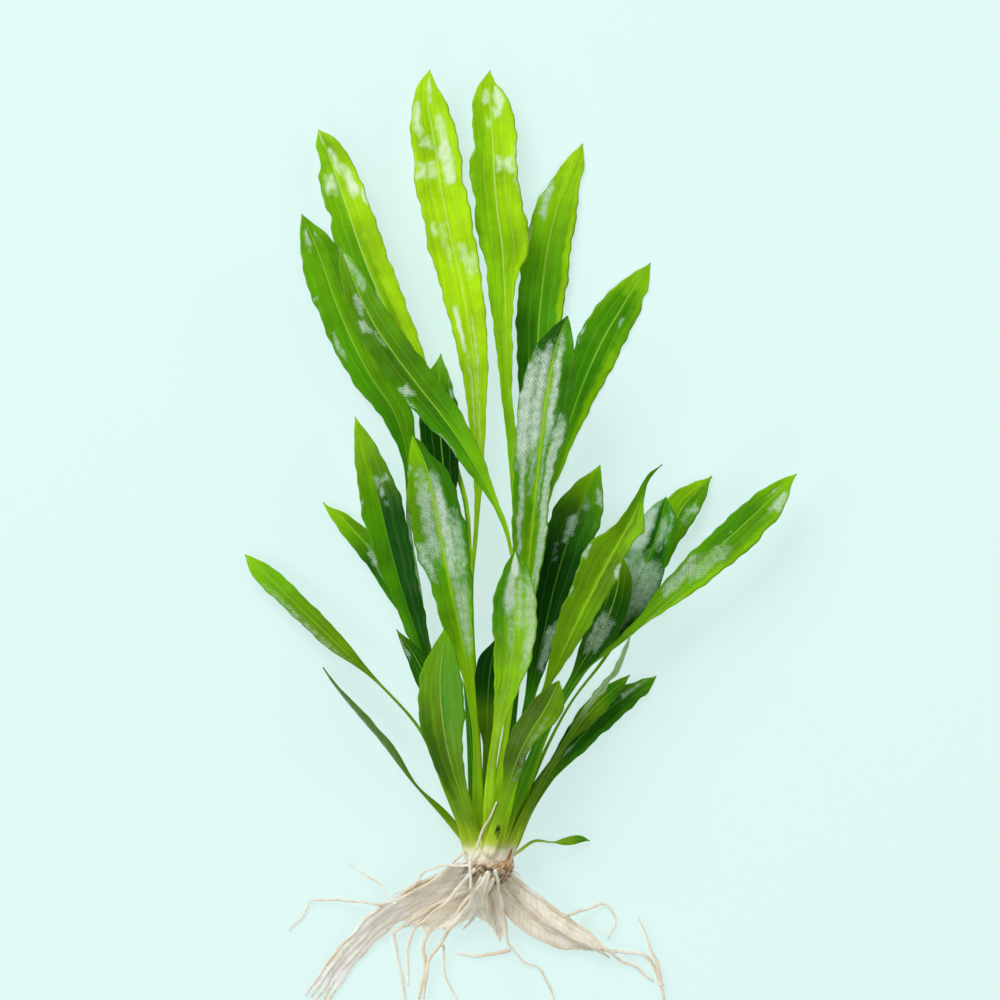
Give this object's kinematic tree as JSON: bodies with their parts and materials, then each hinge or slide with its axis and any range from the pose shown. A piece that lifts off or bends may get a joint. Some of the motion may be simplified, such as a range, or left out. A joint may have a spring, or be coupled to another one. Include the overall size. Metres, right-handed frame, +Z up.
{
  "type": "amazon sword plant",
  "caption": "Bare-rooted amazon sword plant lying on its back: a rosette of glossy sword-shaped leaves on long stalks, a short pale crown and a spread of cream-coloured roots",
  "frame": {"origin": "on the surface that the plant lies on, below the middle of its bounding box", "axes": "+Z up, away from the surface; +Y along the plant from its roots to its leaf tips; +X to the right of a viewer who looks down on it with the leaf tips at the top"},
  "size_m": [0.2212, 0.376, 0.0603],
  "materials": {
    "leaf_young": "gloss",
    "leaf_grown": "gloss",
    "leaf_old": "gloss",
    "crown": "matte",
    "root": "matte"
  },
  "bodies": {
    "root": {"leaf_01": "leaf_grown", "leaf_02": "leaf_grown", "leaf_03": "leaf_grown", "leaf_04": "leaf_old", "leaf_05": "leaf_grown", "leaf_06": "leaf_old", "leaf_07": "leaf_grown", "leaf_08": "leaf_grown", "leaf_09": "leaf_young", "leaf_10": "leaf_young", "leaf_11": "leaf_young", "leaf_12": "leaf_grown", "leaf_13": "leaf_old", "leaf_14": "leaf_old", "leaf_15": "leaf_grown", "leaf_16": "leaf_old", "leaf_17": "leaf_grown", "leaf_18": "leaf_old", "leaf_19": "leaf_grown", "leaf_20": "leaf_old", "leaf_21": "leaf_grown", "leaf_22": "leaf_grown", "leaf_23": "leaf_grown", "leaf_24": "leaf_grown", "leaf_25": "leaf_grown", "leaf_26": "leaf_grown", "leaf_27": "leaf_grown", "leaf_28": "leaf_grown", "leaf_29": "leaf_grown", "crown": "crown", "root_01": "root", "root_02": "root", "root_03": "root", "root_04": "root", "root_05": "root", "root_06": "root", "root_07": "root", "root_08": "root", "root_09": "root", "root_10": "root", "root_11": "root", "root_12": "root", "root_13": "root", "root_14": "root", "root_15": "root", "root_16": "root", "root_17": "root", "root_18": "root", "root_19": "root", "root_20": "root", "root_21": "root", "root_22": "root", "root_23": "root", "root_24": "root", "root_25": "root", "root_26": "root"}
  },
  "joints": []
}
